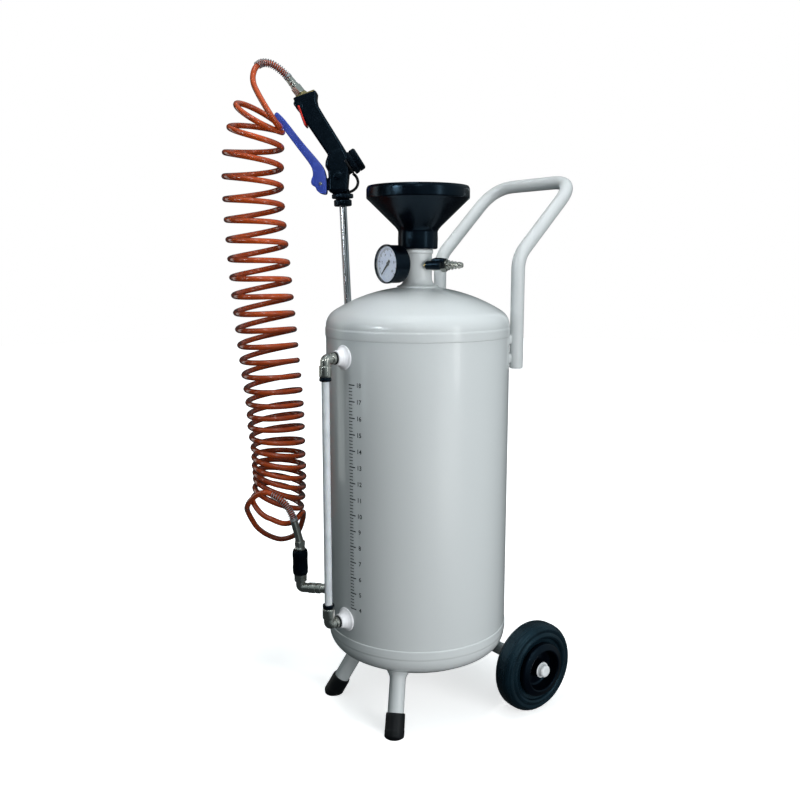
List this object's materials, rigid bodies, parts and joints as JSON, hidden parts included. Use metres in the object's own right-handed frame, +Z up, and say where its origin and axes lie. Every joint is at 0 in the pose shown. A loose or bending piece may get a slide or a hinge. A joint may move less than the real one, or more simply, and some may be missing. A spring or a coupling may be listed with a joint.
{
  "type": "wheeled pressure sprayer",
  "caption": "Upright painted steel pressure sprayer on wheels, with filling funnel, gauge, level tube, coiled hose and a spray gun with its lance in a holder.",
  "frame": {"origin": "middle of the footprint of the sprayer without its hose, on the ground", "axes": "+Z up along the tank; -Y is the front, with the gauge and the two feet; +Y is the back, with the wheels and the handle; +X is the side away from the spray gun"},
  "size_m": [0.3926, 0.4122, 0.9035],
  "materials": {
    "paint": "glossy light grey powder coat",
    "black_plastic": "smooth satin moulding",
    "rubber": "matte moulded rubber",
    "tyre": "matte with a fine tread",
    "nickel": "bright nickel plate",
    "brass": "turned and polished",
    "steel": "polished stainless",
    "white_plastic": "smooth white",
    "level_tube": "milky translucent",
    "dial": "printed scale",
    "needle": "plain black",
    "lens": "clear",
    "blue_plastic": "satin moulding",
    "red_wire": "dipped coating",
    "hose": "glossy translucent polyurethane"
  },
  "bodies": {
    "root": {"tank_shell": "paint", "tank_upper_head": "paint", "tank_lower_head": "paint", "filler_neck": "paint", "handle_tube": "paint", "leg_left": "paint", "leg_right": "paint", "axle_tube": "paint", "lance_guide": "paint", "lance_cup": "paint", "funnel": "black_plastic", "gauge_case": "black_plastic", "gauge_bezel": "black_plastic", "level_collar_upper": "black_plastic", "level_collar_lower": "black_plastic", "lance_nut": "black_plastic", "gun_body": "black_plastic", "gun_strap": "black_plastic", "foot_cap_left": "rubber", "foot_cap_right": "rubber", "gauge_stem": "nickel", "inlet_valve_body": "nickel", "inlet_plug": "nickel", "level_elbow_upper": "nickel", "level_elbow_lower": "nickel", "outlet_elbow": "nickel", "coupler_body": "nickel", "hose_ferrule_upper": "nickel", "hose_ferrule_lower": "nickel", "safety_valve_body": "brass", "gun_inlet": "brass", "wheel_bolt_left": "steel", "wheel_bolt_right": "steel", "lance_tube": "steel", "hose_guard_upper": "steel", "hose_guard_lower": "steel", "level_boss_upper": "white_plastic", "level_boss_lower": "white_plastic", "outlet_boss": "white_plastic", "level_tube": "level_tube", "gauge_dial": "dial", "gauge_lens": "lens", "hose_upper_lead": "hose", "hose_lower_lead": "hose", "hose_coil": "hose"},
    "wheel_left": {"wheel_hub_left": "black_plastic", "tyre_left": "tyre"},
    "wheel_right": {"wheel_hub_right": "black_plastic", "tyre_right": "tyre"},
    "plug_seal": {"plug_seal": "rubber"},
    "filler_plug": {"filler_plug": "black_plastic"},
    "gauge_needle": {"gauge_needle": "needle"},
    "inlet_valve": {"inlet_valve_ball": "nickel", "inlet_valve_lever": "black_plastic"},
    "safety_valve_ring": {"safety_valve_ring": "steel"},
    "coupler_sleeve": {"coupler_sleeve": "black_plastic"},
    "gun_lever": {"gun_lever": "blue_plastic", "lever_pin": "steel"},
    "gun_latch": {"gun_latch": "red_wire"},
    "gun_cap": {"gun_cap": "black_plastic"}
  },
  "joints": [
    {"name": "wheel_left_spin", "type": "hinge", "parent": "root", "child": "wheel_left", "pos_m": [-0.10649, 0.07185, 0.0625], "axis": [1, 0, 0], "continuous": true},
    {"name": "wheel_right_spin", "type": "hinge", "parent": "root", "child": "wheel_right", "pos_m": [0.15551, 0.07185, 0.0625], "axis": [1, 0, 0], "continuous": true},
    {"name": "plug_rise", "type": "slide", "parent": "root", "child": "plug_seal", "axis": [0, 0, 1], "range_m": [0, 0.004]},
    {"name": "plug_turn", "type": "hinge", "parent": "plug_seal", "child": "filler_plug", "pos_m": [0.02451, -0.03265, 0.66], "axis": [0, 0, 1], "range_deg": [0, 725]},
    {"name": "gauge_needle_turn", "type": "hinge", "parent": "root", "child": "gauge_needle", "pos_m": [0.02451, -0.08205, 0.6195], "axis": [0, 1, 0], "range_deg": [0, 270], "stiffness_Nm_per_rad": 0.0005},
    {"name": "inlet_valve_turn", "type": "hinge", "parent": "root", "child": "inlet_valve", "pos_m": [0.04789, -0.01915, 0.618], "axis": [-0.5, 0.866, 0], "range_deg": [0, 90]},
    {"name": "safety_ring_pull", "type": "slide", "parent": "root", "child": "safety_valve_ring", "axis": [-0.866, 0.5, 0], "range_m": [0, 0.004], "stiffness_N_per_m": 500},
    {"name": "coupler_sleeve_pull", "type": "slide", "parent": "root", "child": "coupler_sleeve", "axis": [0, 0, -1], "range_m": [0, 0.004], "stiffness_N_per_m": 900},
    {"name": "gun_lever_squeeze", "type": "hinge", "parent": "root", "child": "gun_lever", "pos_m": [-0.13601, -0.08349, 0.733], "axis": [-0.7832, 0.6218, 0], "range_deg": [0, 10], "stiffness_Nm_per_rad": 3},
    {"name": "gun_latch_swing", "type": "hinge", "parent": "root", "child": "gun_latch", "pos_m": [-0.15404, -0.10621, 0.8385], "axis": [-0.7832, 0.6218, 0], "range_deg": [0, 48]},
    {"name": "gun_cap_turn", "type": "hinge", "parent": "root", "child": "gun_cap", "pos_m": [-0.10579, -0.04544, 0.76515], "axis": [0.5221, 0.6576, 0.5432], "range_deg": [0, 90]}
  ],
  "couplings": [
    {"joint": "plug_turn", "follows": "plug_rise", "rad_per_m": 3141.6}
  ]
}
